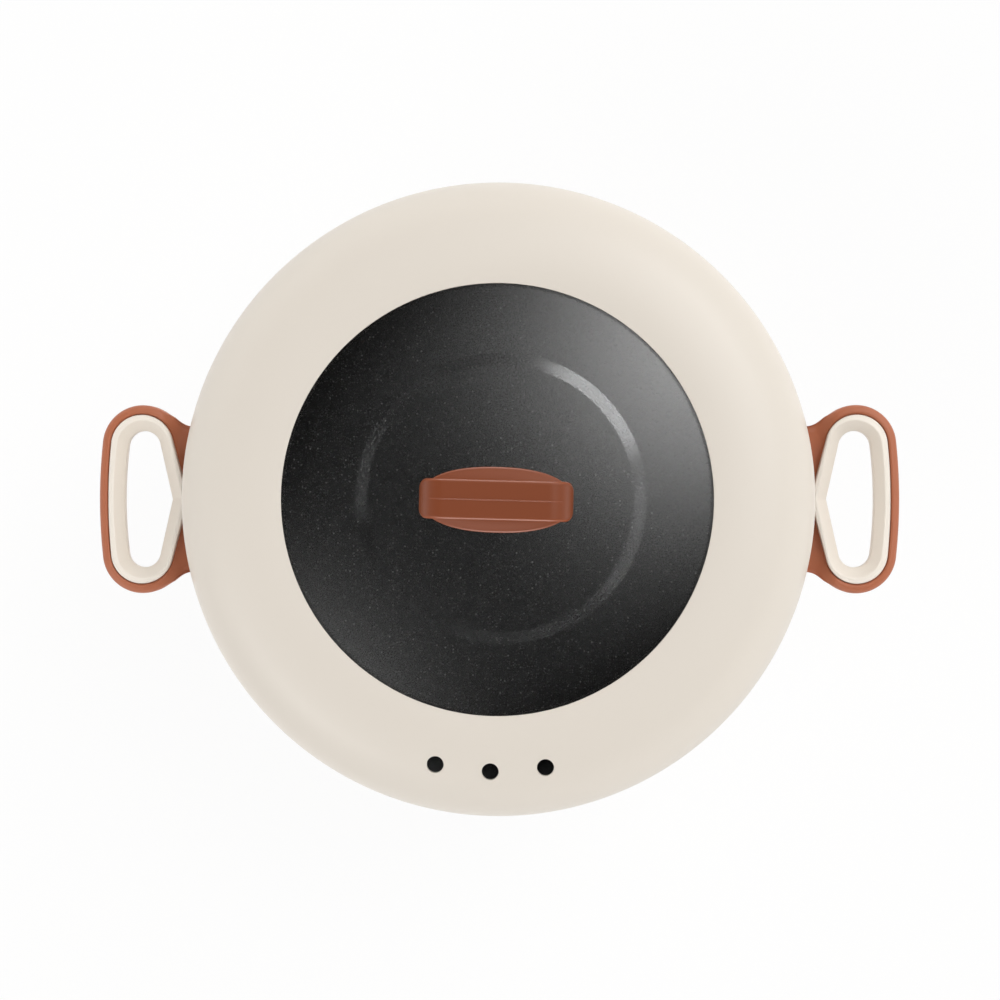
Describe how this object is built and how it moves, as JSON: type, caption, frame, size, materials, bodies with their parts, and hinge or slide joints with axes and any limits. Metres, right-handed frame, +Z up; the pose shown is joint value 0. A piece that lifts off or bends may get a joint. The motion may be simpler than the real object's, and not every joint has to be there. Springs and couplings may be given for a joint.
{
  "type": "electric hot pot",
  "caption": "Round electric hot pot with a lift-out non-stick pot, a lift-off lid with a glass window, loop side handles, a rotary switch and a sprung heat sensor.",
  "frame": {"origin": "on the surface that the feet stand on, below the middle of the pot", "axes": "+Z up, +X towards the right-hand side handle, -Y towards the knob and the steam vents at the front"},
  "size_m": [0.3866, 0.302, 0.2175],
  "materials": {
    "cream_plastic": "cream moulded plastic, satin",
    "brown_plastic": "terracotta brown moulded plastic, satin",
    "nonstick_pot": "dark grey non-stick coating with fine speckles",
    "steel_sheet": "pressed sheet",
    "steel_screw": "zinc plated",
    "cast_aluminium": "machined casting",
    "heater_steel": "heat-tinted tube",
    "glass": "tempered, clear",
    "silicone": "dark grey silicone",
    "dark_plastic": "black heat-resistant plastic",
    "pale_plastic": "natural nylon",
    "amber_lens": "translucent amber",
    "brass": "plain",
    "lead_jacket": "silicone lead jacket",
    "bezel_aluminium": "brushed ring"
  },
  "bodies": {
    "cooker_body": {"upper_shell": "cream_plastic", "lower_shell": "cream_plastic", "base_housing": "cream_plastic", "base_cover": "dark_plastic", "base_feet": "silicone", "base_screws": "steel_screw", "pan_screws": "steel_screw", "pan_nuts": "steel_screw", "holding_pan": "steel_sheet", "heating_plate": "cast_aluminium", "heating_tube": "heater_steel", "plate_spacers": "steel_screw", "plate_screws": "steel_screw", "sensor_guide": "pale_plastic", "sensor_spring": "steel_screw", "thermal_fuse": "pale_plastic", "fuse_clip": "steel_sheet", "rotary_switch": "dark_plastic", "switch_nut": "steel_screw", "knob_bezel": "bezel_aluminium", "pilot_lens": "amber_lens", "pilot_lamp": "glass", "power_inlet": "dark_plastic", "inlet_pins": "brass", "leads": "lead_jacket", "handle_left": "brown_plastic", "handle_right": "brown_plastic", "handle_insert_left": "cream_plastic", "handle_insert_right": "cream_plastic", "handle_screws": "steel_screw"},
    "pot": {"inner_pot": "nonstick_pot", "pot_rim": "steel_sheet"},
    "lid": {"lid_ring": "cream_plastic", "lid_glass": "glass", "lid_seal": "silicone", "lid_retainer": "cream_plastic", "lid_retainer_screws": "steel_screw", "lid_handle": "brown_plastic", "lid_handle_pad": "silicone", "lid_handle_inserts": "brass", "lid_handle_screws": "steel_screw", "lid_handle_washers": "silicone"},
    "knob": {"knob": "brown_plastic", "knob_inlay": "cream_plastic", "switch_shaft": "steel_screw"},
    "sensor": {"sensor_cap": "cast_aluminium", "sensor_thermostat": "dark_plastic", "sensor_stem": "steel_screw", "sensor_clip": "steel_screw"}
  },
  "joints": [
    {"name": "pot_lift", "type": "slide", "parent": "cooker_body", "child": "pot", "axis": [0, 0, 1], "range_m": [0, 0.13]},
    {"name": "lid_lift", "type": "slide", "parent": "pot", "child": "lid", "axis": [0, 0, 1], "range_m": [0, 0.12]},
    {"name": "knob_turn", "type": "hinge", "parent": "cooker_body", "child": "knob", "pos_m": [0, -0.113, 0.025], "axis": [0, 1, 0], "range_deg": [0, 270]},
    {"name": "sensor_press", "type": "slide", "parent": "cooker_body", "child": "sensor", "axis": [0, 0, 1], "range_m": [-0.0025, 0], "stiffness_N_per_m": 400, "springref_m": 0.004, "deforming": ["sensor_spring"]}
  ]
}
